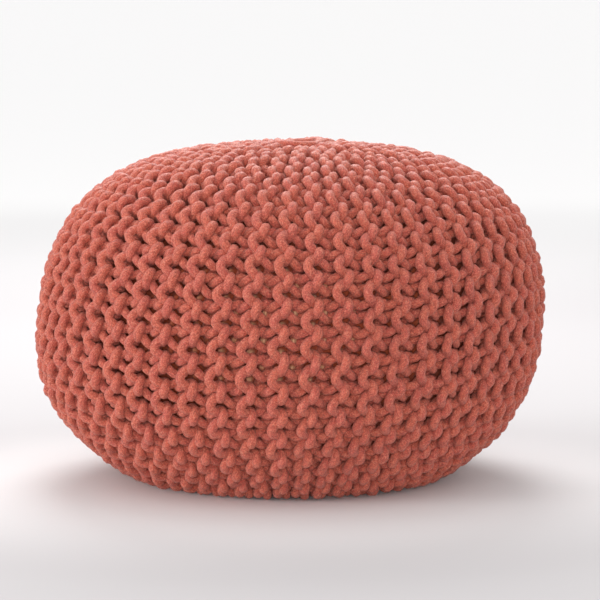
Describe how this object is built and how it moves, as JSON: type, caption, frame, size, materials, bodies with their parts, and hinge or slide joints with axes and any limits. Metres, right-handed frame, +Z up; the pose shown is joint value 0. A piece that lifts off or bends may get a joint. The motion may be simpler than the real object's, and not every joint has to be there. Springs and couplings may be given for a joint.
{
  "type": "knitted pouf",
  "caption": "Low round knitted pouf with upright garter-stitch ribs in thick cord, gathered shut at the top and foot, filled firm and pressed flat where it stands.",
  "frame": {"origin": "middle of the footprint on the floor, under the belly", "axes": "+Z up through the gathered ends, -Y towards the pictured front, +X to that view's right"},
  "size_m": [0.5098, 0.5084, 0.3393],
  "materials": {
    "cotton_cord_knit": "thick spun cotton cord in a muted coral red, matt, with a short fuzz and a mottled fibre",
    "gather_cord": "the same spun cotton cord, drawn tight",
    "inner_bag": "plain tan cotton cloth of the inner bag, seen only between the stitches"
  },
  "bodies": {
    "root": {"knit_cover": "cotton_cord_knit", "gather_cord_top": "gather_cord", "gather_cord_bottom": "gather_cord"}
  },
  "joints": []
}
